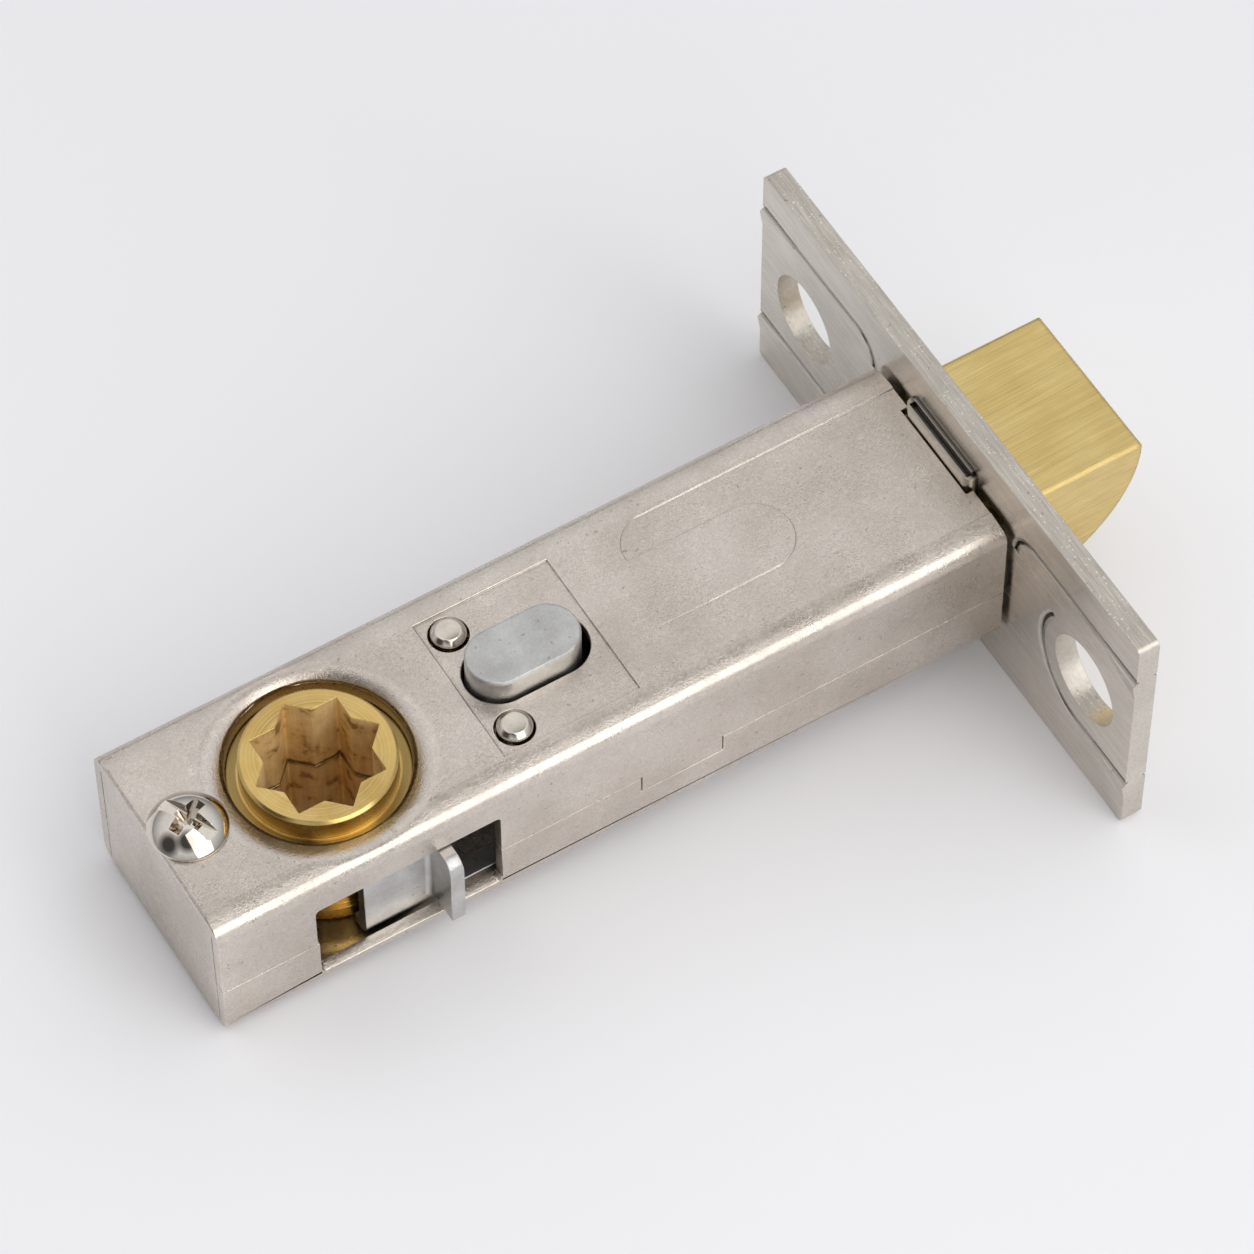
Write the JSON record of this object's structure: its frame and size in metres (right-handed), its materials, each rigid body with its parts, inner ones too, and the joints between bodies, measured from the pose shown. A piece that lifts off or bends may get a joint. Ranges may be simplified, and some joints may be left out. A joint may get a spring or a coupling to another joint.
{
  "type": "tubular door latch",
  "caption": "Tubular mortice door latch: nickel case and fixing plate, sprung brass bolt, split brass hub with star spindle hole, privacy plunger.",
  "frame": {"origin": "middle of the two screw holes on the fixing plate's front face", "axes": "+X the way the bolt comes out, +Y along the fixing plate, +Z along the spindle towards the crowned shell"},
  "size_m": [0.09, 0.0572, 0.0254],
  "materials": {
    "nickel_case": "dull nickel plate on pressed steel",
    "nickel_plate": "bright nickel plate on stamped steel",
    "bolt_brass": "brushed along the bolt",
    "hub_brass": "bright, machined",
    "zinc_steel": "clear zinc plate",
    "bright_steel": "drawn, bright",
    "spring_steel": "drawn spring wire",
    "nickel_pin": "nickel plated, turned",
    "nickel_screw": "bright nickel plate",
    "guide_nylon": "moulded natural nylon"
  },
  "bodies": {
    "case": {"upper_shell": "nickel_case", "lower_shell": "nickel_case", "base_plate": "nickel_plate", "bolt_guide_left": "guide_nylon", "bolt_guide_right": "guide_nylon", "bolt_spring": "spring_steel", "spring_seat": "zinc_steel", "spring_washer": "bright_steel", "guide_post_left": "nickel_pin", "guide_post_right": "nickel_pin", "detent_spring": "spring_steel", "closing_screw": "nickel_screw", "closing_pillar": "nickel_pin"},
    "bolt": {"bolt_head": "bolt_brass", "bolt_shank": "bright_steel", "shank_pin": "bright_steel", "drive_pin": "bright_steel"},
    "retractor": {"retractor": "zinc_steel"},
    "hub_upper": {"hub_upper": "hub_brass"},
    "hub_lower": {"hub_lower": "hub_brass"},
    "privacy_plunger": {"privacy_plunger": "zinc_steel"}
  },
  "joints": [
    {"name": "bolt_travel", "type": "slide", "parent": "case", "child": "bolt", "axis": [1, 0, 0], "range_m": [-0.011, 0], "stiffness_N_per_m": 400, "springref_m": 0.008, "deforming": ["bolt_spring"]},
    {"name": "retractor_travel", "type": "slide", "parent": "case", "child": "retractor", "axis": [1, 0, 0], "range_m": [-0.011, 0]},
    {"name": "hub_upper_turn", "type": "hinge", "parent": "case", "child": "hub_upper", "pos_m": [-0.062, 0, 0], "axis": [0, 0, 1], "range_deg": [-80, 0]},
    {"name": "hub_lower_turn", "type": "hinge", "parent": "case", "child": "hub_lower", "pos_m": [-0.062, 0, 0], "axis": [0, 0, 1], "range_deg": [-80, 0]},
    {"name": "privacy_push", "type": "slide", "parent": "case", "child": "privacy_plunger", "axis": [0, 0, 1], "range_m": [-0.0024, 0]}
  ],
  "couplings": [
    {"joint": "retractor_travel", "follows": "bolt_travel", "ratio": 1},
    {"joint": "hub_upper_turn", "follows": "bolt_travel", "rad_per_m": 126.93},
    {"joint": "hub_lower_turn", "follows": "bolt_travel", "rad_per_m": 126.93}
  ]
}
